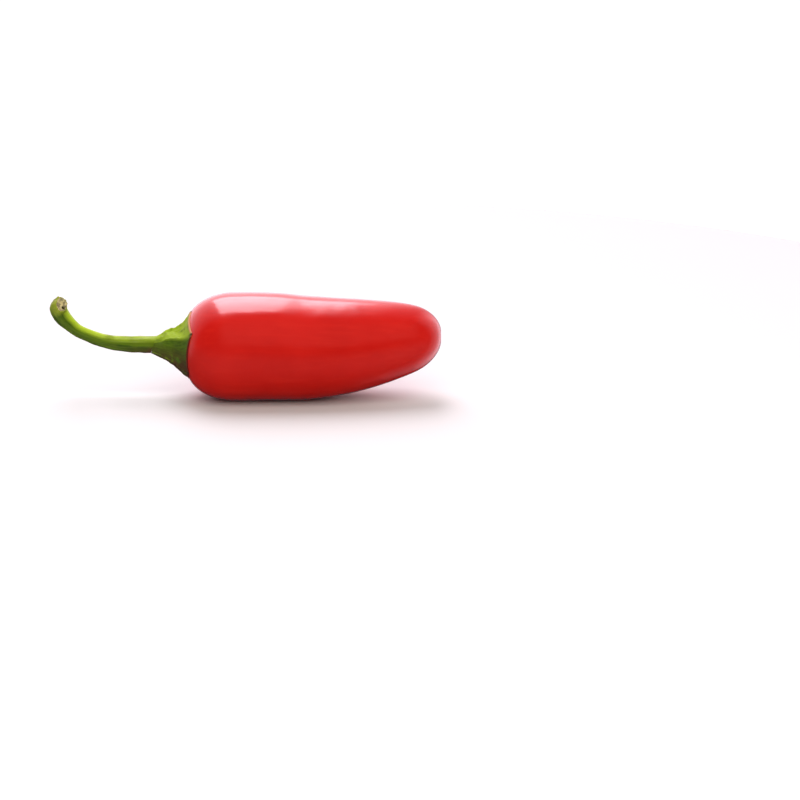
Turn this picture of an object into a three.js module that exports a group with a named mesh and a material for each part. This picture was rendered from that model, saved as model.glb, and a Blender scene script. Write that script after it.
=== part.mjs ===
// A ripe red chilli pepper of the jalapeno kind, as picked, lying on its side.
// Three pieces: the pod, the green calyx on its shoulder and the hooked stem.
//
// Units are millimetres, +Z is up and the surface it lies on is z = 0. The pod runs
// along +X from its shoulder to its tip, and the stem runs the other way and hooks upward.

import * as THREE from 'three';
import { mergeVertices } from 'three/addons/utils/BufferGeometryUtils.js';

// ---------- Driving dimensions ----------

// Pod
const POD_LENGTH = 70;
const POD_DIAMETER = 30;
const POD_END_DIAMETER = 13;      // the flat end under the calyx
const SHOULDER_LENGTH = 13;       // from the flat end to the full diameter
const TIP_DIAMETER = 13;          // what the taper narrows to at the very tip
const TAPER_POWER = 2.7;          // higher keeps the pod full for longer
const TIP_LENGTH = 8.3;           // the round nose
const TIP_POWER = 2.65;           // 2 is an ellipse, higher is blunter
const REST_DEPTH = 0.52;          // how much the underside is flattened where it lies
const REST_END = 30;              // the underside lifts off the surface past here
const TIP_LIFT = 11.5;            // how far it has lifted at the tip
const LIFT_POWER = 1.8;
const POD_BOW = 1.2;              // sideways bend at the middle of the pod
const LOBE_DEPTH = 0.2;           // three shallow lobes along the pod
const GAP = 0.3;                  // clearance between neighbouring pieces

// Calyx
const CALYX_CORNERS = [5, 57, 128, 178, 238, 300];  // degrees from the top, towards -Y
const CALYX_CORNER_RADIUS = 10;
const CALYX_SIDE_RADIUS = 8.9;
const CALYX_EDGE = 0.7;           // thickness of the rim
const CALYX_LENGTH = 9.55;
const BOSS_RADIUS = 4.4;          // the ring around the foot of the stem
const BOSS_LENGTH = 4;
const NECK_COLLAR = 0.1;          // how far the neck stands out around the stem's foot
const CALYX_RISE = 0.6;           // how far its axis lies above the pod's middle line
const CALYX_SAG = 0.7;            // how far its middle hangs below that axis
const RIM_HOLLOW = 1.6;           // higher makes the rim's corners sharper
const FLARE_BELLY = [0.4, 0.39];  // a point of the flare: share of the way down, share out

// Stem
const STEM_FOOT_DIAMETER = 4.7;
const STEM_DIAMETER = 3.4;
const STEM_KNEE_DIAMETER = 4.6;   // where the hook turns over
const STEM_CUT_DIAMETER = 4.1;
const STEM_RIBS = 6;
const STEM_RIB_DEPTH = 0.1;
const STEM_REACH = 25.9;          // from the calyx back to the middle of the hook
const STEM_RISE = 12.1;           // from the foot up to the cut end
const STEM_LEAN = 2.95;           // the hook turns this far towards -Y
const STEM_FOOT_SPAN = 0.6;       // share of the stem over which the foot's swelling fades
const STEM_KNEE_SPAN = [0.66, 0.86];  // shares between which it swells towards the knee
const STEM_CUT_SPAN = [0.9, 1];   // shares between which it narrows to the cut

// Fineness
const POD_SIDES = 48;
const CALYX_STEPS_PER_SIDE = 6;
const CALYX_FACE_STEPS = 12;
const CALYX_SEAT_STEPS = 5;
const STEM_SIDES = 24;
const STEM_STEPS = 36;

const POD_RADIUS = POD_DIAMETER / 2;
const END_RADIUS = POD_END_DIAMETER / 2;
const NECK_RADIUS = STEM_FOOT_DIAMETER / 2 + NECK_COLLAR;

// ---------- Helpers ----------

const clamp01 = (value) => Math.min(1, Math.max(0, value));
const smoothstep = (value) => value * value * (3 - 2 * value);

// Moves every vertex by a function that takes and changes a Vector3.
function reshape(geometry, move) {
  const position = geometry.attributes.position;
  const point = new THREE.Vector3();
  for (let index = 0; index < position.count; index += 1) {
    point.fromBufferAttribute(position, index);
    move(point);
    position.setXYZ(index, point.x, point.y, point.z);
  }
  return geometry;
}

// Joins the seam and the poles of a turned shape, and drops the empty triangles there.
function closeSeams(geometry) {
  geometry.deleteAttribute('uv');
  geometry.deleteAttribute('normal');
  const merged = mergeVertices(geometry, 1e-4);
  const corners = merged.index.array;
  const kept = [];
  for (let first = 0; first < corners.length; first += 3) {
    const [a, b, c] = corners.slice(first, first + 3);
    if (a !== b && b !== c && c !== a) {
      kept.push(a, b, c);
    }
  }
  merged.setIndex(kept);
  merged.computeVertexNormals();
  return merged;
}

// Turns a profile of [along, radius] pairs about the X axis. Angle 0 is the top.
function turnAboutX(profile, sides) {
  const points = profile.map(([along, radius]) => new THREE.Vector2(radius, along));
  return new THREE.LatheGeometry(points, sides).rotateZ(-Math.PI / 2);
}

function namedMesh(name, geometry, colour, roughness) {
  const material = new THREE.MeshStandardMaterial({ color: colour, roughness, metalness: 0 });
  const mesh = new THREE.Mesh(geometry, material);
  mesh.name = name;
  return mesh;
}

// ---------- Pod ----------

// Radius of the tapering body, without its two rounded ends.
function bodyRadius(along) {
  const run = clamp01((along - SHOULDER_LENGTH) / (POD_LENGTH - SHOULDER_LENGTH));
  return POD_RADIUS - (POD_RADIUS - TIP_DIAMETER / 2) * run ** TAPER_POWER;
}

// Height of the pod's middle line: straight where it lies, then lifting towards the tip.
function spineHeight(along) {
  const past = clamp01((along - REST_END) / (POD_LENGTH - REST_END));
  return bodyRadius(along) - REST_DEPTH + TIP_LIFT * past ** LIFT_POWER;
}

// The outline, from the middle of the flat end round to the middle of the tip.
function podProfile() {
  const profile = [[0, 0], [0, END_RADIUS / 2]];
  const shoulderSteps = 9;
  for (let step = 0; step < shoulderSteps; step += 1) {
    const angle = (step / shoulderSteps) * Math.PI / 2;
    const along = SHOULDER_LENGTH * (1 - Math.cos(angle));
    profile.push([along, END_RADIUS + (POD_RADIUS - END_RADIUS) * Math.sin(angle)]);
  }
  const tipStart = POD_LENGTH - TIP_LENGTH;
  const bodySteps = 20;
  for (let step = 0; step < bodySteps; step += 1) {
    const along = SHOULDER_LENGTH + (tipStart - SHOULDER_LENGTH) * step / bodySteps;
    profile.push([along, bodyRadius(along)]);
  }
  const tipSteps = 9;
  for (let step = 0; step < tipSteps; step += 1) {
    const angle = (step / tipSteps) * Math.PI / 2;
    const along = tipStart + TIP_LENGTH * Math.sin(angle) ** (2 / TIP_POWER);
    profile.push([along, bodyRadius(along) * Math.cos(angle) ** (2 / TIP_POWER)]);
  }
  profile.push([POD_LENGTH, 0]);
  return profile;
}

function makePod() {
  const geometry = turnAboutX(podProfile(), POD_SIDES);
  reshape(geometry, (point) => {
    const share = clamp01(point.x / POD_LENGTH);
    const lobes = LOBE_DEPTH / POD_RADIUS * Math.sin(Math.PI * share) ** 2;
    const swell = 1 + lobes * Math.cos(3 * Math.atan2(-point.y, point.z));
    const height = point.z * swell + spineHeight(point.x);
    point.y = point.y * swell + POD_BOW * Math.sin(Math.PI * share) ** 2;
    point.z = Math.max(height, 0);
  });
  return namedMesh('pod', closeSeams(geometry), 0xc8201a, 0.25);
}

// ---------- Calyx ----------

// How far along X a clearance of GAP outside the pod's shoulder lies at a radius.
function shoulderSeat(radius) {
  const out = Math.max(0, radius - END_RADIUS) / (POD_RADIUS - END_RADIUS + GAP);
  return -GAP + (SHOULDER_LENGTH + GAP) * (1 - Math.sqrt(Math.max(0, 1 - out * out)));
}

// Where the middle of a rim side sits, where the neck ends, and the height of the axis.
const RIM_SEAT = shoulderSeat(CALYX_SIDE_RADIUS);
const NECK_END = RIM_SEAT - CALYX_LENGTH;
const AXIS_HEIGHT = spineHeight(0) + CALYX_RISE;

// The upper face from the rim to the neck, as a curve of [along, radius].
function calyxUpperFace() {
  const flareStart = RIM_SEAT - CALYX_EDGE;
  const flareEnd = NECK_END + BOSS_LENGTH;
  const [bellyDown, bellyOut] = FLARE_BELLY;
  return new THREE.SplineCurve([
    new THREE.Vector2(flareStart, CALYX_CORNER_RADIUS),
    new THREE.Vector2(
      flareStart + (flareEnd - flareStart) * bellyDown,
      BOSS_RADIUS + (CALYX_CORNER_RADIUS - BOSS_RADIUS) * bellyOut,
    ),
    new THREE.Vector2(flareEnd, BOSS_RADIUS),
    new THREE.Vector2(flareEnd - BOSS_LENGTH / 2, (BOSS_RADIUS + NECK_RADIUS) / 2),
    new THREE.Vector2(NECK_END, NECK_RADIUS),
  ]);
}

// How far the flare hangs down at a place along X: nothing at the neck and at the rim.
function calyxSag(along) {
  const share = clamp01((along - NECK_END) / (RIM_SEAT - CALYX_EDGE - NECK_END));
  return CALYX_SAG * Math.sin(Math.PI * share ** 1.5);
}

// Outline of the six-cornered rim at a turn of 0 to 6, as [angle, radius], angle 0 at the top.
function rimAt(turn) {
  const side = Math.floor(turn) % CALYX_CORNERS.length;
  const share = turn - Math.floor(turn);
  const here = CALYX_CORNERS[side];
  const next = CALYX_CORNERS[(side + 1) % CALYX_CORNERS.length];
  const sweep = (next - here + 360) % 360;
  const fromMiddle = Math.abs(2 * share - 1) ** RIM_HOLLOW;
  const radius = CALYX_SIDE_RADIUS + (CALYX_CORNER_RADIUS - CALYX_SIDE_RADIUS) * fromMiddle;
  return [THREE.MathUtils.degToRad(here + sweep * share), radius];
}

function makeCalyx() {
  const face = calyxUpperFace().getPoints(CALYX_FACE_STEPS).map((point) => [point.x, point.y]);
  const profile = [[NECK_END, 0], ...face.reverse()];
  const seatStart = profile.length;
  for (let step = CALYX_SEAT_STEPS; step >= 0; step -= 1) {
    profile.push([0, END_RADIUS + (CALYX_CORNER_RADIUS - END_RADIUS) * step / CALYX_SEAT_STEPS]);
  }
  profile.push([0, END_RADIUS / 2], [0, 0]);

  const sides = CALYX_CORNERS.length * CALYX_STEPS_PER_SIDE;
  const geometry = turnAboutX(profile, sides);
  const position = geometry.attributes.position;
  // The turned shape's vertices run along the profile first, then round the axis.
  for (let index = 0; index < position.count; index += 1) {
    const onProfile = index % profile.length;
    const turn = Math.floor(index / profile.length) / CALYX_STEPS_PER_SIDE;
    const [angle, rim] = rimAt(turn % CALYX_CORNERS.length);
    const [planned, plannedRadius] = profile[onProfile];
    // The corners are full at the rim and fade away at the boss.
    const flare = (plannedRadius - BOSS_RADIUS) / (CALYX_CORNER_RADIUS - BOSS_RADIUS);
    const fade = smoothstep(clamp01(flare));
    const radius = plannedRadius * (1 + (rim / CALYX_CORNER_RADIUS - 1) * fade);
    const side = -radius * Math.sin(angle);
    const up = radius * Math.cos(angle) + CALYX_RISE;
    const seat = shoulderSeat(Math.hypot(side, up));
    const onFace = onProfile < seatStart;
    const along = onFace ? planned + (seat - RIM_SEAT) * fade : seat;
    const sag = onFace ? calyxSag(planned) : 0;
    position.setXYZ(index, along, side, up - sag + spineHeight(0));
  }
  return namedMesh('calyx', closeSeams(geometry), 0x6f9a22, 0.5);
}

// ---------- Stem ----------

// The middle line: nearly level at first, then rising into a hook that turns towards -Y.
// The points are shares of the reach, the lean and the rise.
function stemRoute() {
  const foot = new THREE.Vector3(NECK_END - GAP, 0, AXIS_HEIGHT);
  const shape = [
    [0, 0, 0], [0.17, 0, 0.005], [0.35, 0, 0.026], [0.46, 0, 0.062], [0.57, 0, 0.122],
    [0.67, 0, 0.21], [0.81, 0, 0.365], [0.905, 0.03, 0.55], [0.953, 0.07, 0.655],
    [0.984, 0.13, 0.756], [0.996, 0.24, 0.833], [0.996, 0.43, 0.904], [0.983, 0.67, 0.96],
    [0.952, 1, 1],
  ];
  const points = shape.map(([back, lean, up]) => new THREE.Vector3(
    foot.x - STEM_REACH * back,
    foot.y - STEM_LEAN * lean,
    foot.z + STEM_RISE * up,
  ));
  return new THREE.CatmullRomCurve3(points);
}

// How far a share has come through a span, from 0 to 1, without a corner at either end.
function rise(share, [start, end]) {
  return smoothstep(clamp01((share - start) / (end - start)));
}

function stemRadius(share) {
  const foot = (STEM_FOOT_DIAMETER - STEM_DIAMETER) * (1 - rise(share, [0, STEM_FOOT_SPAN]));
  const knee = (STEM_KNEE_DIAMETER - STEM_DIAMETER) * rise(share, STEM_KNEE_SPAN);
  const cut = (STEM_CUT_DIAMETER - STEM_KNEE_DIAMETER) * rise(share, STEM_CUT_SPAN);
  return (STEM_DIAMETER + foot + knee + cut) / 2;
}

// A cylinder of unit length and radius, bent along the route and given its ribs.
function makeStem() {
  const route = stemRoute();
  const sideways = new THREE.Vector3(0, 1, 0);
  const geometry = new THREE.CylinderGeometry(1, 1, 1, STEM_SIDES, STEM_STEPS);
  reshape(geometry, (point) => {
    const share = clamp01(point.y + 0.5);
    const angle = Math.atan2(point.x, point.z);
    const ribs = 1 + STEM_RIB_DEPTH / STEM_DIAMETER * Math.cos(STEM_RIBS * angle);
    const radius = Math.hypot(point.x, point.z) * stemRadius(share) * ribs;
    const forward = route.getTangentAt(share);
    const across = sideways.clone().addScaledVector(forward, -sideways.dot(forward)).normalize();
    const upward = new THREE.Vector3().crossVectors(across, forward);
    point.copy(route.getPointAt(share));
    point.addScaledVector(across, radius * Math.sin(angle));
    point.addScaledVector(upward, radius * Math.cos(angle));
  });
  return namedMesh('stem', closeSeams(geometry), 0x7e9c2c, 0.55);
}

// ---------- Assembly ----------

const chilli = new THREE.Group();
chilli.add(makePod(), makeCalyx(), makeStem());

// The origin is under the middle of the whole thing, on the surface it lies on.
const box = new THREE.Box3().setFromObject(chilli);
const middle = box.getCenter(new THREE.Vector3());
chilli.position.set(-middle.x, -middle.y, 0);

export default chilli;
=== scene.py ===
# %% [markdown]
# # A ripe red chilli pepper, lying on a white table
#
# The real thing is one fruit with three parts that grew together. A glossy red pod is
# capped by a green calyx with six corners, and a green stem leaves the calyx and hooks
# upward to the place where it was cut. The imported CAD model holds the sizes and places.
# This scene keeps to that frame and makes the skin, the creases and the finishes.

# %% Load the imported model, which nothing here moves or resizes
import bpy
import bmesh
import math
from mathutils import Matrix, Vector, noise


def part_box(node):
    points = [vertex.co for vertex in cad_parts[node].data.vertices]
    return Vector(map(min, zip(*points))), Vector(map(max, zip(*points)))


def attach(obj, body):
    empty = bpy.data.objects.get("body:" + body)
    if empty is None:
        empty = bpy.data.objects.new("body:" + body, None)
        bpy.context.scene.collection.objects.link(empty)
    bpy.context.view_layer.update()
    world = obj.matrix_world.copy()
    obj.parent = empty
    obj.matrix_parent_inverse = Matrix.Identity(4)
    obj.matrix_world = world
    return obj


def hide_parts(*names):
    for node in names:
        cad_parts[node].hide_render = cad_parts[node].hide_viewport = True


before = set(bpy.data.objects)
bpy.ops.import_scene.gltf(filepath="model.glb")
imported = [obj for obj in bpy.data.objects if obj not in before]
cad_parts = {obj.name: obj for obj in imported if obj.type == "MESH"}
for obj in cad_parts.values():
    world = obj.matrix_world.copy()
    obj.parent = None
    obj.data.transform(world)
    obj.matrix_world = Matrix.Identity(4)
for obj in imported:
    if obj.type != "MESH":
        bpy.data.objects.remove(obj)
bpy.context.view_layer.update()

# %% Work in millimetres, as the CAD does, and turn them to metres with one factor
MM = 0.001
pod_low, pod_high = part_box("pod")
calyx_low, calyx_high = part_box("calyx")
stem_low, stem_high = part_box("stem")
SHOULDER_X = pod_low.x
POD_LENGTH = pod_high.x - pod_low.x
for node, low, high in (("pod", pod_low, pod_high), ("calyx", calyx_low, calyx_high),
                        ("stem", stem_low, stem_high)):
    print(node, [round(side / MM, 1) for side in high - low], "mm")

# %% [markdown]
# ## Small helpers
#
# Most curves of a fruit are soft, so the same few easing functions come back in every
# piece. `near` is a soft bump around one place, and `ease` goes from 0 to 1 without a
# corner at either end.


# %% Easing functions
def clamp01(value):
    return max(0.0, min(1.0, value))


def ease(start, end, value):
    share = clamp01((value - start) / (end - start))
    return share * share * (3 - 2 * share)


def mix(first, second, share):
    return first + (second - first) * share


def near(value, centre, width):
    return math.exp(-((value - centre) / width) ** 2)


# %% Turn a finished bmesh into an object that rides on the one body
def finish_piece(name, bm, node, material):
    mesh = bpy.data.meshes.new(name)
    bm.to_mesh(mesh)
    bm.free()
    mesh.shade_smooth()
    mesh.materials.append(material)
    piece = bpy.data.objects.new(name, mesh)
    bpy.context.scene.collection.objects.link(piece)
    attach(piece, "root")
    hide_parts(node)
    print(name, len(mesh.vertices), "vertices,", len(mesh.polygons), "faces")


# %% Extrude a loop of edges once, and give back the new loop and its points
def extrude_ring(bm, edges):
    made = bmesh.ops.extrude_edge_only(bm, edges=edges)["geom"]
    points = [part for part in made if isinstance(part, bmesh.types.BMVert)]
    new_edges = [part for part in made if isinstance(part, bmesh.types.BMEdge)
                 and all(vert in points for vert in part.verts)]
    return new_edges, points


# %% [markdown]
# ## Node helpers
#
# Each material, and the world, is a small chain of the same few steps: read a place or an
# attribute, make a noise from it, remap it, and use it to mix two colours.

# %% Node helpers
MIX_FACTOR, MIX_A, MIX_B, MIX_RESULT = 0, 6, 7, 2  # the colour sockets of a Mix node


def new_material(name):
    material = bpy.data.materials.new(name)
    material.use_nodes = True
    return material, material.node_tree.nodes, material.node_tree.links


def add_noise(nodes, links, vector, scale, detail=3.0, roughness=0.5):
    texture = nodes.new("ShaderNodeTexNoise")
    texture.inputs["Scale"].default_value = scale
    texture.inputs["Detail"].default_value = detail
    texture.inputs["Roughness"].default_value = roughness
    links.new(vector, texture.inputs["Vector"])
    return texture.outputs["Fac"]


def add_range(nodes, links, value, low, high, new_low=0.0, new_high=1.0):
    remap = nodes.new("ShaderNodeMapRange")
    remap.inputs["From Min"].default_value = low
    remap.inputs["From Max"].default_value = high
    remap.inputs["To Min"].default_value = new_low
    remap.inputs["To Max"].default_value = new_high
    links.new(value, remap.inputs["Value"])
    return remap.outputs["Result"]


def add_product(nodes, links, first, second):
    multiply = nodes.new("ShaderNodeMath")
    multiply.operation = "MULTIPLY"
    links.new(first, multiply.inputs[0])
    links.new(second, multiply.inputs[1])
    return multiply.outputs["Value"]


def add_colour_mix(nodes, links, share, first, second):
    blend = nodes.new("ShaderNodeMix")
    blend.data_type = "RGBA"
    links.new(share, blend.inputs[MIX_FACTOR])
    for colour, number in ((first, MIX_A), (second, MIX_B)):
        if isinstance(colour, bpy.types.NodeSocket):
            links.new(colour, blend.inputs[number])
        else:
            blend.inputs[number].default_value = (*colour, 1)
    return blend.outputs[MIX_RESULT]


def add_bump(nodes, links, height, strength, distance, previous=None):
    bump = nodes.new("ShaderNodeBump")
    bump.inputs["Strength"].default_value = strength
    bump.inputs["Distance"].default_value = distance
    links.new(height, bump.inputs["Height"])
    if previous is not None:
        links.new(previous, bump.inputs["Normal"])
    return bump.outputs["Normal"]


def add_stretch(nodes, links, vector, scale):
    mapping = nodes.new("ShaderNodeMapping")
    mapping.inputs["Scale"].default_value = scale
    links.new(vector, mapping.inputs["Vector"])
    return mapping.outputs["Vector"]


def add_attribute(nodes, name, output="Fac"):
    reader = nodes.new("ShaderNodeAttribute")
    reader.attribute_name = name
    return reader.outputs[output]


def add_split(nodes, links, vector):
    split = nodes.new("ShaderNodeSeparateXYZ")
    links.new(vector, split.inputs["Vector"])
    return split.outputs


# %% [markdown]
# ## Camera
#
# A long lens a little above the table keeps the pod's outline nearly free of perspective.
# The pepper lies to the left of the middle of the picture and just above it, so the
# camera looks at a point on the table near the tip of the pod, squarely along +Y.

# %% Camera
CAMERA_HEIGHT_ANGLE = math.radians(16)
CAMERA_DISTANCE = 0.72
PICTURE_WIDTH = 220.9 * MM      # what the picture spans where the pepper lies
SENSOR_WIDTH = 36               # in millimetres, as Blender counts it
CLIP_NEAR, CLIP_FAR = 0.05, 20
LOOK_AT = Vector((pod_high.x - 11.4 * MM, -4.1 * MM, 0.3 * MM))

back = Vector((0, -math.cos(CAMERA_HEIGHT_ANGLE), math.sin(CAMERA_HEIGHT_ANGLE)))
camera_data = bpy.data.cameras.new("camera")
camera_data.sensor_width = SENSOR_WIDTH
camera_data.lens = SENSOR_WIDTH * CAMERA_DISTANCE / PICTURE_WIDTH
camera_data.clip_start = CLIP_NEAR
camera_data.clip_end = CLIP_FAR
camera = bpy.data.objects.new("camera", camera_data)
camera.location = LOOK_AT + back * CAMERA_DISTANCE
camera.rotation_euler = (-back).to_track_quat("-Z", "Y").to_euler()
bpy.context.scene.collection.objects.link(camera)
bpy.context.scene.camera = camera
print("lens", round(camera_data.lens, 1), "mm")

# %% [markdown]
# ## Light
#
# Waxy skin shows its shape through one large soft reflection. A long softbox hangs above
# and behind the pepper, on a plane that is tilted towards it. The place of its right edge
# decides where the pale band along the top of the pod fades, and a dimmer panel beside it
# carries the fade towards the tip. The back part of the softbox is dimmer too, because
# skin seen at a glancing angle mirrors more. A fill light in front gives the diffuse light
# of the near side. It is left out of reflections, so that side stays a deep plain red.

# %% The tilted plane that the panels hang on
PANEL_DISTANCE = 1.0
PANEL_ANGLE = math.radians(122)     # from the front horizon, up over the pepper and back
PANEL_TINT = (1, 0.87, 0.97)
POD_MIDDLE = Vector((0.018, 0, 0.015))
panel_out = Vector((0, -math.cos(PANEL_ANGLE), math.sin(PANEL_ANGLE)))
panel_back = Vector((0, math.sin(PANEL_ANGLE), math.cos(PANEL_ANGLE)))


def area_light(name, place, turn, width, height, brightness, tint):
    """A flat light whose brightness is what a mirror facing it would show."""
    light = bpy.data.lights.new(name, "AREA")
    light.shape = "RECTANGLE"
    light.size = width
    light.size_y = height
    light.energy = brightness * math.pi * width * height
    light.color = tint
    lamp = bpy.data.objects.new(name, light)
    lamp.location = place
    lamp.rotation_euler = turn
    bpy.context.scene.collection.objects.link(lamp)
    return lamp


def hang_panel(name, sides, ends, brightness):
    """A panel between two places along X and two along the tilted plane.

    Both are in metres from the place straight out from the middle of the pod.
    """
    place = POD_MIDDLE + panel_out * PANEL_DISTANCE + panel_back * (sum(ends) / 2)
    place.x += sum(sides) / 2
    turn = (math.pi / 2 - PANEL_ANGLE, 0, 0)
    return area_light(name, place, turn, sides[1] - sides[0], ends[1] - ends[0],
                      brightness, PANEL_TINT)


# %% Softboxes and fill
SOFTBOX_SIDES = (-0.39, 0.055)
EDGE_SIDES = (0.055, 0.1)
FILL_PLACE = Vector((0.15, -0.68, 0.72))
FILL_SIZE = 1.0
FILL_TINT = (1, 0.94, 0.9)
hang_panel("softbox", SOFTBOX_SIDES, ends=(-0.63, 0.1), brightness=6.5)
hang_panel("softbox_back", SOFTBOX_SIDES, ends=(0.1, 0.42), brightness=4.4)
hang_panel("softbox_edge", EDGE_SIDES, ends=(-0.35, 0.42), brightness=2.4)
fill_turn = (POD_MIDDLE - FILL_PLACE).to_track_quat("-Z", "Y").to_euler()
fill = area_light("front_fill", FILL_PLACE, fill_turn, FILL_SIZE, FILL_SIZE, 2.6, FILL_TINT)
fill.visible_glossy = False

# %% [markdown]
# The world is white where the camera looks straight at it. For light and reflections it
# is bright behind the pepper and dim in front, like a lit backdrop in a dark room. It is
# also dim below the horizon, except on the right, past the tip. The bright back draws the
# thin pink line of light along the edges of the skin. The table is a round sheet that
# looks about as white as the world behind it, so its edge hardly shows.


# %% World
SEEN_WHITE = 1.1                # how bright the background is to the camera
ROOM_TINT = (1, 0.86, 0.96, 1)
FRONT_BRIGHTNESS = 0.05
BACK_BRIGHTNESS = 1.6
SHARE_BELOW = 0.03              # what is left of the brightness well below the horizon
SHARE_IN_MIDDLE = 0.4           # what is left of it to the right of straight behind
SHARE_ON_RIGHT = 1.3            # and what it rises to far on the right, also below the horizon


def build_world():
    world = bpy.data.worlds.new("studio")
    bpy.context.scene.world = world
    world.use_nodes = True
    nodes, links = world.node_tree.nodes, world.node_tree.links
    nodes.clear()
    output = nodes.new("ShaderNodeOutputWorld")
    choose = nodes.new("ShaderNodeMixShader")
    path = nodes.new("ShaderNodeLightPath")
    seen = nodes.new("ShaderNodeBackground")
    seen.inputs["Color"].default_value = (1, 1, 1, 1)
    seen.inputs["Strength"].default_value = SEEN_WHITE
    room = nodes.new("ShaderNodeBackground")
    room.inputs["Color"].default_value = ROOM_TINT
    direction = nodes.new("ShaderNodeTexCoord").outputs["Generated"]
    axes = add_split(nodes, links, direction)
    behind = add_range(nodes, links, axes["Y"], -0.25, 0.95, FRONT_BRIGHTNESS, BACK_BRIGHTNESS)
    above = add_range(nodes, links, axes["Z"], -0.3, 0.02, SHARE_BELOW, 1)
    left_side = add_range(nodes, links, axes["X"], -0.05, 0.2, 1, SHARE_IN_MIDDLE)
    on_the_right = add_range(nodes, links, axes["X"], 0.22, 0.6, 0, SHARE_ON_RIGHT)
    brighter = nodes.new("ShaderNodeMath")
    brighter.operation = "MAXIMUM"
    links.new(add_product(nodes, links, above, left_side), brighter.inputs[0])
    links.new(on_the_right, brighter.inputs[1])
    strength = add_product(nodes, links, behind, brighter.outputs["Value"])
    links.new(strength, room.inputs["Strength"])
    links.new(path.outputs["Is Camera Ray"], choose.inputs["Fac"])
    links.new(room.outputs["Background"], choose.inputs[1])
    links.new(seen.outputs["Background"], choose.inputs[2])
    links.new(choose.outputs["Shader"], output.inputs["Surface"])


build_world()
bpy.context.scene.view_settings.view_transform = "Standard"
print("world:", bpy.context.scene.world.name)


# %% Table: a round white sheet, which the shine of the skin doesn't mirror
TABLE_RADIUS = 0.27
TABLE_SIDES = 96
TABLE_PAINT = (0.72, 0.76, 0.73, 1)  # slightly green, to offset the pink of the panels
TABLE_ROUGHNESS = 0.8


def make_table():
    bm = bmesh.new()
    bmesh.ops.create_circle(bm, cap_ends=True, radius=TABLE_RADIUS, segments=TABLE_SIDES)
    mesh = bpy.data.meshes.new("table")
    bm.to_mesh(mesh)
    bm.free()
    paint = bpy.data.materials.new("white_table")
    paint.use_nodes = True
    sheet = paint.node_tree.nodes["Principled BSDF"]
    sheet.inputs["Base Color"].default_value = TABLE_PAINT
    sheet.inputs["Roughness"].default_value = TABLE_ROUGHNESS
    mesh.materials.append(paint)
    table = bpy.data.objects.new("table", mesh)
    table.visible_glossy = False
    bpy.context.scene.collection.objects.link(table)
    print("table", 2 * TABLE_RADIUS, "m wide")


make_table()

# %% [markdown]
# ## Pod: the outline
#
# A jalapeno pod is close to a turned shape: a flat end under the calyx, a full round
# shoulder, a long body that tapers more and more, and a blunt nose. So its outline is
# drawn once, from one end of the middle line to the other, and spun a full turn. Three
# formulas make the outline. The shoulder is a quarter of an ellipse, the body narrows by
# a power of the way along it, and the nose is a squarer curve than an ellipse, which
# would make the tip too pointed.

# %% Pod sizes
POD_RADIUS = 15 * MM
POD_END_RADIUS = 6.5 * MM       # the flat end under the calyx
SHOULDER_LENGTH = 13 * MM
TIP_RADIUS = 6.5 * MM           # what the taper narrows to at the very tip
TAPER_POWER = 2.7
TIP_LENGTH = 8.3 * MM
TIP_POWER = 2.65
REST_DEPTH = 0.52 * MM          # how much the underside is flattened where it lies
REST_END = 30 * MM              # the underside rises from here on
TIP_LIFT = 11.5 * MM
LIFT_POWER = 1.8
POD_BOW = 0.3 * MM              # sideways bend towards +Y at the middle of the pod
LOBE_DEPTH = 0.2 * MM
SKIN_INSET = 0.03 * MM          # keeps the highest part of the skin inside the CAD model's box
POD_SIDES = 200
SIDE_SHIFT = 0.04 * MM          # a small shift of the whole pepper towards +Y
MIDDLE_Y = (pod_low.y + pod_high.y) / 2 - POD_BOW / 2 + SIDE_SHIFT


# %% Radius of the body, and the height of its middle line
def body_radius(along):
    run = clamp01((along - SHOULDER_LENGTH) / (POD_LENGTH - SHOULDER_LENGTH))
    return POD_RADIUS - (POD_RADIUS - TIP_RADIUS) * run ** TAPER_POWER


def spine_height(along):
    past = clamp01((along - REST_END) / (POD_LENGTH - REST_END))
    return body_radius(along) - REST_DEPTH + TIP_LIFT * past ** LIFT_POWER


# %% The outline as a list of (along, radius)
def pod_outline(shoulder_steps=26, body_steps=80, tip_steps=34):
    points = [(0.0, 0.0), (0.0, POD_END_RADIUS / 2)]
    for step in range(shoulder_steps):
        angle = math.pi / 2 * step / shoulder_steps
        points.append((
            SHOULDER_LENGTH * (1 - math.cos(angle)),
            POD_END_RADIUS + (POD_RADIUS - POD_END_RADIUS) * math.sin(angle),
        ))
    tip_start = POD_LENGTH - TIP_LENGTH
    for step in range(body_steps):
        along = mix(SHOULDER_LENGTH, tip_start, step / body_steps)
        points.append((along, body_radius(along)))
    for step in range(tip_steps):
        angle = math.pi / 2 * step / tip_steps
        along = tip_start + TIP_LENGTH * math.sin(angle) ** (2 / TIP_POWER)
        points.append((along, body_radius(along) * math.cos(angle) ** (2 / TIP_POWER)))
    points.append((POD_LENGTH, 0.0))
    return points


print("outline points:", len(pod_outline()))


# %% Spin the outline into a closed pod
def spin_pod():
    bm = bmesh.new()
    line = [bm.verts.new((along, 0, radius)) for along, radius in pod_outline()]
    edges = [bm.edges.new(pair) for pair in zip(line, line[1:])]
    bmesh.ops.spin(bm, geom=line + edges, cent=(0, 0, 0), axis=(1, 0, 0), dvec=(0, 0, 0),
                   angle=2 * math.pi, steps=POD_SIDES, use_merge=True)
    bmesh.ops.remove_doubles(bm, verts=bm.verts, dist=0.001 * MM)
    bmesh.ops.recalc_face_normals(bm, faces=bm.faces)
    return bm


pod_bm = spin_pod()
print("open edges:", sum(not edge.is_manifold for edge in pod_bm.edges))

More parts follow.
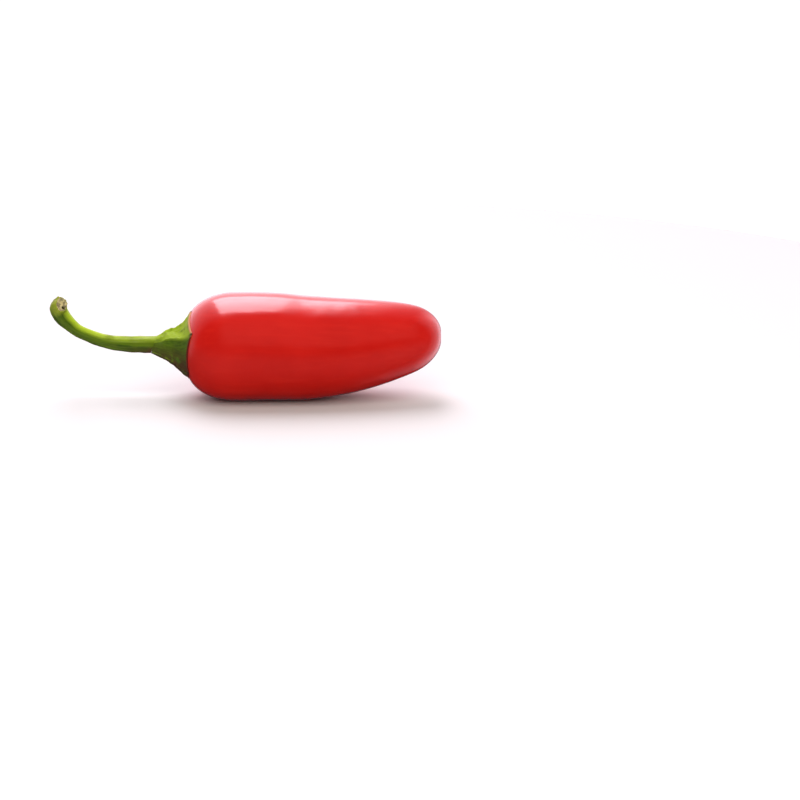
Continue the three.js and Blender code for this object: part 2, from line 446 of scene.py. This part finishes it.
# %% [markdown]
# ## Pod: growing it out of round
#
# A turned pod looks machined, and a real one isn't quite round. This one gets three very
# shallow lobes, a slight waist halfway along its top and a low brow nearer the tip. Soft
# hollows about a centimetre across, finer ripples, and a small scar at the tip where the
# flower sat come on top. Every point is moved by the sum of these. The underside is then
# flattened where it meets the table.

# %% Sizes of the relief
TOP_LINE = -0.3                 # where waist and brow lie, in radians from the top to -Y
TOP_LINE_WIDTH = 0.5
WAIST_DEPTH = 0.34 * MM
WAIST_PLACE = 38 * MM
WAIST_LENGTH = 13 * MM
BROW_HEIGHT = 0.26 * MM
BROW_PLACE = 61 * MM
BROW_LENGTH = 7 * MM
HOLLOW_DEPTH = 0.12 * MM
HOLLOW_LENGTH = 15 * MM
HOLLOWS_AROUND = 1.3
RIPPLE_DEPTH = 0.035 * MM
RIPPLE_FINENESS = 3.4
DIMPLE_DEPTH = 0.22 * MM        # the flower scar: a dimple with a nub in its middle
DIMPLE_RADIUS = 1.1 * MM
NUB_HEIGHT = 0.16 * MM
NUB_RADIUS = 0.4 * MM
CALM_RADIUS = 3 * MM            # the relief fades out this close to the middle line


# %% How far each part of the skin stands in or out of the turned shape
def skin_relief(along, turn):
    share = clamp01(along / POD_LENGTH)
    belly = math.sin(math.pi * share)
    lobes = LOBE_DEPTH * math.cos(3 * turn) * belly ** 2
    on_top = near(turn, TOP_LINE, TOP_LINE_WIDTH)
    waist = -WAIST_DEPTH * near(along, WAIST_PLACE, WAIST_LENGTH) * on_top
    brow = BROW_HEIGHT * near(along, BROW_PLACE, BROW_LENGTH) * on_top
    round_the_skin = Vector((along / HOLLOW_LENGTH, HOLLOWS_AROUND * math.cos(turn),
                             HOLLOWS_AROUND * math.sin(turn)))
    hollows = HOLLOW_DEPTH * noise.noise(round_the_skin + Vector((3.1, 0.4, 7.7))) * belly
    ripples = RIPPLE_DEPTH * noise.noise(round_the_skin * RIPPLE_FINENESS) * belly
    return lobes + waist + brow + hollows + ripples


def tip_scar(radius):
    dimple = -DIMPLE_DEPTH * near(radius, 0, DIMPLE_RADIUS)
    nub = NUB_HEIGHT * near(radius, 0, NUB_RADIUS)
    return dimple + nub


# %% Move every point of the pod
def shape_pod(bm):
    for vert in bm.verts:
        along, side, up = vert.co
        radius = math.hypot(side, up)
        turn = math.atan2(-side, up)
        share = clamp01(along / POD_LENGTH)
        relief = (skin_relief(along, turn) - SKIN_INSET) * ease(0, CALM_RADIUS, radius)
        scale = 1 + relief / max(radius, 1 * MM)
        if along > POD_LENGTH / 2:
            along += tip_scar(radius)
        vert.co = (
            SHOULDER_X + along,
            side * scale + POD_BOW * math.sin(math.pi * share) ** 2 + MIDDLE_Y,
            max(0.0, up * scale + spine_height(along)),
        )


shape_pod(pod_bm)
bmesh.ops.recalc_face_normals(pod_bm, faces=pod_bm.faces)
print("pod volume", round(pod_bm.calc_volume() / MM ** 3 / 1000, 1), "ml")

# %% [markdown]
# ## Pod: the skin
#
# The colour sits in the flesh, under a clear wax. So the base is a deep red that varies
# a little, some light goes through the surface, and a thin coat on top gives the sharp
# part of the shine. Two sizes of bump keep the shine from looking like glass: faint
# waves, and a very fine grain that can only just be seen in the highlight.


# %% Red skin
def make_pod_skin():
    material, nodes, links = new_material("red_pod_skin")
    skin = nodes["Principled BSDF"]
    place = nodes.new("ShaderNodeTexCoord").outputs["Object"]

    ripe = (0.65, 0.011, 0.006)
    deep = (0.58, 0.008, 0.004)
    bright = (0.71, 0.018, 0.009)
    clouds = add_noise(nodes, links, place, 70, 3)
    colour = add_colour_mix(nodes, links, add_range(nodes, links, clouds, 0.35, 0.7), ripe, deep)
    streaks = add_noise(nodes, links, add_stretch(nodes, links, place, (60, 700, 700)), 1, 4)
    colour = add_colour_mix(nodes, links, add_range(nodes, links, streaks, 0.5, 0.8, 0, 0.5),
                            colour, bright)
    links.new(colour, skin.inputs["Base Color"])

    waves = add_noise(nodes, links, place, 160, 3)
    pores = add_noise(nodes, links, place, 1800, 2)
    normal = add_bump(nodes, links, waves, 0.25, 0.4 * MM)
    normal = add_bump(nodes, links, pores, 0.06, 0.06 * MM, normal)
    links.new(normal, skin.inputs["Normal"])
    skin.inputs["Roughness"].default_value = 0.22

    skin.inputs["Subsurface Weight"].default_value = 0.12
    skin.inputs["Subsurface Radius"].default_value = (1, 0.2, 0.1)
    skin.inputs["Subsurface Scale"].default_value = 1.5 * MM
    skin.inputs["IOR"].default_value = 1.45
    skin.inputs["Coat Weight"].default_value = 0.6
    skin.inputs["Coat Roughness"].default_value = 0.12
    skin.inputs["Coat IOR"].default_value = 1.45
    return material


finish_piece("pod_skin", pod_bm, "pod", make_pod_skin())

# %% [markdown]
# ## Calyx: the cap as a flared tube
#
# The calyx is the green base of the flower, and it hugs the shoulder with six corners.
# It starts as a small circle around the foot of the stem. The circle is extruded ring by
# ring, each wider than the last, down to the rim. The rim is drawn first, as six nearly
# straight sides between its corners, and every ring leans towards it. A ridge runs down
# to each corner, the panels between the ridges are sunk, and the boss around the stem
# stays round and lumpy.

# %% Calyx sizes
CALYX_CORNERS = [5, 60, 128, 178, 238, 300]  # degrees from the top, towards the viewer's side
CORNER_REACH = [9.8 * MM, 10.9 * MM, 10.1 * MM, 9.7 * MM, 10 * MM, 10 * MM]
SIDE_BULGE = [0.35 * MM, 0.7 * MM, 0.3 * MM, 0.4 * MM, 0.4 * MM, 0.4 * MM]
NECK_RADIUS = 2.4 * MM
NECK_SLANT = 0.8 * MM           # the joint with the stem leans back this far at its foot
BOSS_BULGE = 0.2 * MM
FLARE_STRAIGHT = 0.6            # the part of the widening that is even; the rest comes late
RIDGE_HEIGHT = 0.5 * MM
RIDGE_WIDTH = 0.09              # as a share of the way to the next corner
RIDGE_BEND = 0.13               # how far one ridge curves sideways, in radians
RIDGE_BEND_ANGLE = 1.05         # which one: its angle from the top, in radians
LUMP_HEIGHT = 0.22 * MM
WRINKLE_HEIGHT = 0.1 * MM
PANEL_DIP = 0.36 * MM
CALYX_SAG = 0.75 * MM
CALYX_WALL = 0.4 * MM
RIM_STAND = 0.25 * MM           # how far the rim stands off the pod's skin
CALYX_AXIS = spine_height(0) + 0.6 * MM
STEPS_PER_SIDE = 22
CALYX_RINGS = 48
NECK_X = calyx_low.x
print("calyx axis", round(CALYX_AXIS / MM, 2), "mm above the table")


def shoulder_surface(radius):
    """How far along X the pod's skin lies at this distance from its middle line."""
    out = clamp01((radius - POD_END_RADIUS) / (POD_RADIUS - POD_END_RADIUS))
    return SHOULDER_X + SHOULDER_LENGTH * (1 - math.sqrt(1 - out * out))


# %% The rim: a point of it for each turn from 0 to 6, and how close that is to a corner
def rim_corner(number):
    angle = math.radians(CALYX_CORNERS[number % 6])
    return Vector((-math.sin(angle), math.cos(angle))) * CORNER_REACH[number % 6]


def side_outward(side):
    return (rim_corner(side) + rim_corner(side + 1)).normalized()


def rim_at(turn):
    side = int(turn) % 6
    share = turn - int(turn)
    bulge = side_outward(side) * SIDE_BULGE[side] * 4 * share * (1 - share)
    return rim_corner(side).lerp(rim_corner(side + 1), share) + bulge, min(share, 1 - share)


def panel_up(turn):
    """How much the panel here faces up, from -1 to 1, with a quick change at its corners."""
    side = int(turn) % 6
    share = turn - int(turn)
    next_side = side - 1 if share < 0.5 else side + 1
    own, beside = side_outward(side).y, side_outward(next_side % 6).y
    return mix((own + beside) / 2, own, ease(0, 0.07, min(share, 1 - share)))


# %% Radius of the flare at a share of the way from the neck to the rim
def flare_radius(share, reach):
    opening = FLARE_STRAIGHT * share + (1 - FLARE_STRAIGHT) * share ** 4
    boss = BOSS_BULGE * near(share, 0.3, 0.15) - 0.5 * BOSS_BULGE * near(share, 0.56, 0.08)
    return mix(NECK_RADIUS, reach, opening) + boss


def flare_relief(share, from_corner, angle):
    """Ridges down to the corners, sunk panels between them, and lumps on the boss."""
    settled = 1 - ease(0.86, 1, share)
    ridge = RIDGE_HEIGHT * near(from_corner, 0, RIDGE_WIDTH) * ease(0.15, 0.5, share) * settled
    panel = -PANEL_DIP * ease(0.08, 0.4, from_corner) * near(share, 0.74, 0.2) * settled
    around = Vector((7 * share, 2.6 * math.cos(angle), 2.6 * math.sin(angle)))
    lumps = LUMP_HEIGHT * noise.noise(around) * ease(0, 0.12, share) * settled
    wrinkles = WRINKLE_HEIGHT * noise.noise(around * 2.7) * ease(0, 0.12, share) * settled
    return ridge + panel + lumps + wrinkles


# %% Extrude the rings and shape them
def make_calyx_mesh():
    bm = bmesh.new()
    flare_layer = bm.verts.layers.float.new("flare")
    corner_layer = bm.verts.layers.float.new("corner")
    light_side_tint_and_shade_layer = bm.verts.layers.float.new("light_side_tint_and_shade")
    spread_layer = bm.verts.layers.float_vector.new("spread")
    around = 6 * STEPS_PER_SIDE
    neck = bmesh.ops.create_circle(bm, cap_ends=False, radius=NECK_RADIUS, segments=around)
    rings = [neck["verts"]]
    edges = list(bm.edges)
    for _ in range(CALYX_RINGS):
        edges, ring = extrude_ring(bm, edges)
        rings.append(ring)
    for number, ring in enumerate(rings):
        share = number / CALYX_RINGS
        sag = CALYX_SAG * near(share, 0.72, 0.28) * (1 - ease(0.88, 1, share))
        for step, vert in enumerate(ring):
            rim, from_corner = rim_at(6 * step / around)
            angle = math.atan2(-rim.x, rim.y)
            angle -= RIDGE_BEND * near(share, 0.5, 0.25) * near(angle, RIDGE_BEND_ANGLE, 0.6)
            radius = flare_radius(share, rim.length) + flare_relief(share, from_corner, angle)
            side = -radius * math.sin(angle)
            up = CALYX_AXIS + radius * math.cos(angle) - sag
            seat = shoulder_surface(math.hypot(rim.x, CALYX_AXIS + rim.y - spine_height(0)))
            slant = NECK_SLANT * math.cos(angle) * (1 - ease(0, 0.4, share))
            vert.co = (mix(NECK_X, seat - RIM_STAND, share) + slant, side + MIDDLE_Y, up)
            vert[flare_layer] = share
            vert[corner_layer] = 1 - 2 * from_corner
            # How much each panel faces up; the material paints that side lighter, part colour and
            # part painted shade.
            vert[light_side_tint_and_shade_layer] = mix(math.cos(angle), panel_up(6 * step / around),
                                    ease(0.12, 0.4, share))
            vert[spread_layer] = (share, math.cos(angle), math.sin(angle))
    return bm, rings


calyx_bm, calyx_rings = make_calyx_mesh()
print("calyx rings:", len(calyx_rings), "of", len(calyx_rings[0]))


# %% Close the neck, then give the cap its wall
def close_and_thicken(bm, neck):
    bmesh.ops.contextual_create(bm, geom=neck)
    bmesh.ops.recalc_face_normals(bm, faces=bm.faces)
    inside = Vector((SHOULDER_X, MIDDLE_Y, CALYX_AXIS))
    outwards = sum(face.normal.dot(face.calc_center_median() - inside) for face in bm.faces)
    if outwards < 0:
        bmesh.ops.reverse_faces(bm, faces=bm.faces)
    bmesh.ops.solidify(bm, geom=bm.faces, thickness=CALYX_WALL)
    bmesh.ops.recalc_face_normals(bm, faces=bm.faces)


close_and_thicken(calyx_bm, calyx_rings[0])
print("open edges:", sum(not edge.is_manifold for edge in calyx_bm.edges))

# %% [markdown]
# ## Calyx: the green
#
# Calyx green is never even. Brown stains gather on the underside, and the rim is a thin
# dry edge, tan where it is high and red-brown where it is low; that red-brown is partly
# painted shade. The sides that face up are painted light and yellowish and the others dark.
# That is part colour and part painted shade, so it goes with the pepper when the pepper is
# turned over. The mesh carries four attributes that say where each point is: how far down
# the flare, how close to a corner, how much its panel faces up, and the direction round the
# cap, which draws fine veins that run down the flare.


# %% Green calyx skin
def make_calyx_skin():
    material, nodes, links = new_material("green_calyx_skin")
    skin = nodes["Principled BSDF"]
    place = nodes.new("ShaderNodeTexCoord").outputs["Object"]
    flare = add_attribute(nodes, "flare")
    corner = add_attribute(nodes, "corner")
    veins = add_noise(nodes, links, add_stretch(
        nodes, links, add_attribute(nodes, "spread", "Vector"), (2.2, 9, 9)), 1, 4, 0.6)
    height = add_split(nodes, links, place)["Z"]
    mottle = add_noise(nodes, links, place, 520, 4, 0.6)
    stains = add_noise(nodes, links, place, 430, 4, 0.65)

    dark_green = (0.05, 0.1, 0.006)
    vein_green = (0.12, 0.22, 0.007)
    light_green = (0.34, 0.5, 0.014)
    olive = (0.09, 0.15, 0.01)
    stain_brown = (0.08, 0.042, 0.012)
    dry_tan = (0.62, 0.31, 0.14)
    red_brown = (0.14, 0.018, 0.008)
    corner_brown = (0.03, 0.02, 0.008)
    colour = add_colour_mix(nodes, links, add_range(nodes, links, veins, 0.35, 0.68),
                            dark_green, vein_green)
    on_ridge = add_range(nodes, links, corner, 0.78, 1.0, 0, 0.6)
    colour = add_colour_mix(nodes, links, on_ridge, colour, light_green)
    # The sides that face up are painted lighter and yellower: part colour, part painted shade.
    light_side_tint_and_shade = add_range(nodes, links, add_attribute(nodes, "light_side_tint_and_shade"), 0.42, 0.85, 0, 0.9)
    colour = add_colour_mix(nodes, links, light_side_tint_and_shade, colour, light_green)
    colour = add_colour_mix(nodes, links, add_range(nodes, links, mottle, 0.48, 0.66, 0, 0.6),
                            colour, olive)

    under_side = add_range(nodes, links, height, CALYX_AXIS + 1.5 * MM, CALYX_AXIS - 4 * MM)
    brown = add_product(nodes, links, under_side, add_range(nodes, links, stains, 0.36, 0.52))
    colour = add_colour_mix(nodes, links, brown, colour, stain_brown)

    rim = add_range(nodes, links, flare, 0.955, 0.985)
    # The rim is painted darker red-brown below a height, which is partly painted shade under it.
    low_rim = add_range(nodes, links, height, CALYX_AXIS + 5.6 * MM, CALYX_AXIS + 4.4 * MM)
    rim_colour = add_colour_mix(nodes, links, low_rim, dry_tan, red_brown)
    colour = add_colour_mix(nodes, links, rim, colour, rim_colour)
    tip = add_product(nodes, links, add_range(nodes, links, corner, 0.9, 0.97),
                      add_range(nodes, links, flare, 0.92, 0.97))
    colour = add_colour_mix(nodes, links, tip, colour, corner_brown)
    links.new(colour, skin.inputs["Base Color"])

    normal = add_bump(nodes, links, veins, 0.6, 0.3 * MM)
    normal = add_bump(nodes, links, mottle, 0.5, 0.2 * MM, normal)
    links.new(normal, skin.inputs["Normal"])
    skin.inputs["Roughness"].default_value = 0.6
    skin.inputs["Specular IOR Level"].default_value = 0.2
    skin.inputs["Subsurface Weight"].default_value = 0.08
    skin.inputs["Subsurface Radius"].default_value = (0.6, 1, 0.2)
    skin.inputs["Subsurface Scale"].default_value = 0.6 * MM
    return material


finish_piece("calyx_cap", calyx_bm, "calyx", make_calyx_skin())

# %% [markdown]
# ## Stem: a ribbed tube along a hooked line
#
# The stem leaves the calyx nearly level, then rises into a hook that turns over towards
# the viewer. It was cut when the pepper was picked, so its end is a pale dry face. It is
# one circle, extruded many times, and every ring is placed along the hooked line. Each
# point also keeps the place it would have on a straight stem, as an attribute, because
# streaks are easy to place along a straight tube. Another attribute says how far the skin
# faces one fixed direction, mostly up. The material paints that side lighter, as it does
# on the calyx, and this too is partly painted shade.

# %% Stem sizes and line
STEM_FOOT_RADIUS = 2.35 * MM
STEM_RADIUS = 1.7 * MM
STEM_KNEE_RADIUS = 2.3 * MM
STEM_CUT_RADIUS = 2.05 * MM
STEM_REACH = 25.9 * MM
STEM_RISE = 12.1 * MM
STEM_LEAN = 2.95 * MM
STEM_SIDES = 96
STEM_STEPS = 190
STEM_SHAPE = [
    (0, 0, 0), (0.17, 0, 0.005), (0.35, 0, 0.026), (0.46, 0, 0.06), (0.57, 0, 0.115),
    (0.67, 0, 0.195), (0.81, 0, 0.34), (0.905, 0.03, 0.525), (0.953, 0.07, 0.638),
    (0.984, 0.13, 0.756), (0.996, 0.24, 0.833), (0.996, 0.43, 0.904), (0.983, 0.67, 0.96),
    (0.952, 1, 1),
]
STEM_RIBS = [(5, 0.03, 0), (13, 0.018, 1), (29, 0.01, 0)]  # count, depth, and turn of each set
STEM_WRINKLE = 0.05
RIB_TWIST = 0.6                 # how far the ribs wind round the stem, in radians
STEM_FOOT = Vector((NECK_X, MIDDLE_Y, CALYX_AXIS))
stem_points = [
    STEM_FOOT + Vector((-STEM_REACH * out, -STEM_LEAN * lean, STEM_RISE * up))
    for out, lean, up in STEM_SHAPE
]


# %% A smooth line through the points, walked at an even pace
def catmull_rom(before, start, end, after, share):
    return 0.5 * (
        2 * start + (end - before) * share
        + (2 * before - 5 * start + 4 * end - after) * share ** 2
        + (3 * start - before - 3 * end + after) * share ** 3
    )


def smooth_line(points, per_span=24):
    ends = [2 * points[0] - points[1], *points, 2 * points[-1] - points[-2]]
    line = []
    for number in range(1, len(ends) - 2):
        for step in range(per_span):
            line.append(catmull_rom(*ends[number - 1:number + 3], step / per_span))
    return line + [points[-1]]


stem_line = smooth_line(stem_points)
stem_lengths = [0.0]
for first, second in zip(stem_line, stem_line[1:]):
    stem_lengths.append(stem_lengths[-1] + (second - first).length)
STEM_LENGTH = stem_lengths[-1]
print("stem length", round(STEM_LENGTH / MM, 1), "mm")


def stem_place(share):
    """The point and direction of the line at a share of its length."""
    wanted = share * STEM_LENGTH
    number = 0
    while number < len(stem_lengths) - 2 and stem_lengths[number + 1] < wanted:
        number += 1
    span = stem_lengths[number + 1] - stem_lengths[number]
    part = (wanted - stem_lengths[number]) / span
    before, after = stem_line[max(0, number - 3)], stem_line[min(len(stem_line) - 1, number + 4)]
    return stem_line[number].lerp(stem_line[number + 1], part), (after - before).normalized()


# %% Radius of the stem along its length and round its ribs
def stem_radius(share, angle):
    foot = (STEM_FOOT_RADIUS - STEM_RADIUS) * (1 - ease(0, 0.6, share))
    knee = (STEM_KNEE_RADIUS - STEM_RADIUS) * ease(0.66, 0.86, share)
    cut = (STEM_CUT_RADIUS - STEM_KNEE_RADIUS) * ease(0.9, 1, share)
    twist = angle + RIB_TWIST * share
    ribs = sum(depth * math.cos(count * twist + turn) for count, depth, turn in STEM_RIBS)
    around = Vector((share * 16, 1.6 * math.cos(angle), 1.6 * math.sin(angle)))
    wrinkle = STEM_WRINKLE * noise.noise(around)
    return (STEM_RADIUS + foot + knee + cut) * (1 + ribs * ease(0, 0.15, share) + wrinkle)


# %% [markdown]
# The cut face is modelled too: it is slightly dished and crumpled, with one shred of skin
# standing at its edge and two dark pits in it.

# %% Cut face
CUT_RINGS = [0.97, 0.92, 0.85, 0.77, 0.68, 0.59, 0.5, 0.41, 0.32, 0.23, 0.15, 0.08]
CUT_TILT = 0.25
DISH_DEPTH = 0.35 * MM
CRUMPLE_HEIGHT = 0.3 * MM
FINE_CRUMPLE_HEIGHT = 0.14 * MM
PIT_DEPTH = 0.45 * MM
CUT_PITS = [(-0.95 * MM, 1.15 * MM, 0.42 * MM), (-0.65 * MM, 0.65 * MM, 0.3 * MM)]
SHRED_HEIGHT = 0.42 * MM
SHRED_ANGLE = math.radians(118)
# The stem's skin is painted lighter on the side that faces this direction, which is partly
# painted shade.
LIGHTER_PAINTED_SIDE = Vector((0.6, -0.25, 0.76))  # the side of the stem that is painted lighter


def rim_lump(share, angle):
    """A shred of skin left standing at the edge of the cut."""
    return SHRED_HEIGHT * near(angle, SHRED_ANGLE, 0.2) * near(share, 0.985, 0.014)


def cut_height(side, up, radius):
    """How far the face stands out at a place on it, and how much that place is a pit."""
    inward = math.hypot(side, up) / radius
    dish = -DISH_DEPTH * (1 - inward ** 2)
    place = Vector((side, up, 0)) / MM
    crumple = CRUMPLE_HEIGHT * noise.noise(place * 1.1 + Vector((5, 2, 0)))
    crumple += FINE_CRUMPLE_HEIGHT * noise.noise(place * 3.1)
    pit = sum(near(math.hypot(side - x, up - z), 0, size) for x, z, size in CUT_PITS)
    return dish + crumple - PIT_DEPTH * pit, clamp01(pit)


# %% Extrude the rings, place them along the line, and keep their straight places
def make_stem_mesh():
    bm = bmesh.new()
    straight = bm.verts.layers.float_vector.new("straight")
    cut_layer = bm.verts.layers.float.new("cut")
    pit_layer = bm.verts.layers.float.new("pit")
    light_side_tint_and_shade_layer = bm.verts.layers.float.new("light_side_tint_and_shade")
    foot = bmesh.ops.create_circle(bm, cap_ends=False, radius=1, segments=STEM_SIDES)
    rings = [foot["verts"]]
    edges = list(bm.edges)
    for _ in range(STEM_STEPS + len(CUT_RINGS)):
        edges, ring = extrude_ring(bm, edges)
        rings.append(ring)
    across = Vector((0, 1, 0))
    for number, ring in enumerate(rings):
        on_face = number > STEM_STEPS
        inward = CUT_RINGS[number - STEM_STEPS - 1] if on_face else 1.0
        share = min(number, STEM_STEPS) / STEM_STEPS
        point, forward = stem_place(share)
        across = (across - forward * across.dot(forward)).normalized()
        upward = across.cross(forward)
        for step, vert in enumerate(ring):
            angle = 2 * math.pi * step / STEM_SIDES
            full = stem_radius(share, angle) + rim_lump(share, angle)
            side, up = full * inward * math.sin(angle), full * inward * math.cos(angle)
            out, pit = cut_height(side, up, full)
            out = (out - CUT_TILT * up) * ease(0.94, 1, share)
            slant = -NECK_SLANT * math.cos(angle) * (1 - ease(0, 0.12, share))
            vert[straight] = (share * STEM_LENGTH, side, up)
            vert[cut_layer] = ease(0.98, 0.86, inward)
            outward = across * math.sin(angle) + upward * math.cos(angle)
            # How far the skin faces that fixed direction, which the material paints lighter as
            # partly painted shade.
            vert[light_side_tint_and_shade_layer] = outward.dot(LIGHTER_PAINTED_SIDE)
            vert[pit_layer] = pit if on_face else 0.0
            vert.co = point + forward * (out + slant) + across * side + upward * up
    bmesh.ops.contextual_create(bm, geom=rings[0])
    bmesh.ops.contextual_create(bm, geom=rings[-1])
    bmesh.ops.recalc_face_normals(bm, faces=bm.faces)
    return bm


stem_bm = make_stem_mesh()
print("open edges:", sum(not edge.is_manifold for edge in stem_bm.edges))


# %% Green stem skin with a pale dry cut
def make_stem_skin():
    material, nodes, links = new_material("green_stem_skin")
    skin = nodes["Principled BSDF"]
    straight = add_attribute(nodes, "straight", "Vector")
    axes = add_split(nodes, links, straight)
    cut = add_attribute(nodes, "cut")
    pit = add_attribute(nodes, "pit")

    dark_green = (0.043, 0.095, 0.002)
    streak_green = (0.115, 0.2, 0.005)
    light_green = (0.45, 0.63, 0.025)
    yellow_green = (0.42, 0.5, 0.02)
    blotch_green = (0.12, 0.18, 0.006)
    stain_brown = (0.085, 0.05, 0.012)
    joint_brown = (0.1, 0.03, 0.015)
    dry_tan = (0.68, 0.6, 0.28)
    dry_grey = (0.27, 0.24, 0.12)
    pit_brown = (0.03, 0.025, 0.004)
    streaks = add_noise(nodes, links, add_stretch(nodes, links, straight, (70, 1500, 1500)), 1, 4)
    colour = add_colour_mix(nodes, links, add_range(nodes, links, streaks, 0.36, 0.66),
                            dark_green, streak_green)
    # The side that faces the fixed direction is painted lighter: part colour, part painted shade.
    light_side_tint_and_shade = add_range(nodes, links, add_attribute(nodes, "light_side_tint_and_shade"), 0.48, 0.95, 0, 0.95)
    colour = add_colour_mix(nodes, links, light_side_tint_and_shade, colour, light_green)
    near_cut = add_range(nodes, links, axes["X"], STEM_LENGTH - 5 * MM, STEM_LENGTH, 0, 0.8)
    colour = add_colour_mix(nodes, links, near_cut, colour, yellow_green)
    blotches = add_noise(nodes, links, straight, 260, 3)
    colour = add_colour_mix(nodes, links, add_range(nodes, links, blotches, 0.5, 0.7, 0, 0.5),
                            colour, blotch_green)
    near_calyx = add_range(nodes, links, axes["X"], 11 * MM, 1 * MM, 0, 0.9)
    under_side = add_range(nodes, links, axes["Z"], 0.2 * MM, -1.8 * MM)
    colour = add_colour_mix(nodes, links, add_product(nodes, links, near_calyx, under_side),
                            colour, stain_brown)
    at_joint = add_range(nodes, links, axes["X"], 1.9 * MM, 0.4 * MM, 0, 0.8)
    colour = add_colour_mix(nodes, links, add_product(nodes, links, at_joint, under_side),
                            colour, joint_brown)

    dry = add_noise(nodes, links, straight, 900, 4, 0.65)
    face = add_colour_mix(nodes, links, add_range(nodes, links, dry, 0.42, 0.56),
                          dry_tan, dry_grey)
    face = add_colour_mix(nodes, links, pit, face, pit_brown)
    colour = add_colour_mix(nodes, links, cut, colour, face)
    links.new(colour, skin.inputs["Base Color"])
    normal = add_bump(nodes, links, streaks, 0.5, 0.2 * MM)
    normal = add_bump(nodes, links, dry, 0.3, 0.15 * MM, normal)
    links.new(normal, skin.inputs["Normal"])
    links.new(add_range(nodes, links, cut, 0, 1, 0.5, 0.8), skin.inputs["Roughness"])
    skin.inputs["Specular IOR Level"].default_value = 0.25
    skin.inputs["Subsurface Weight"].default_value = 0.1
    skin.inputs["Subsurface Radius"].default_value = (0.6, 1, 0.2)
    skin.inputs["Subsurface Scale"].default_value = 0.6 * MM
    return material


finish_piece("stem_tube", stem_bm, "stem", make_stem_skin())
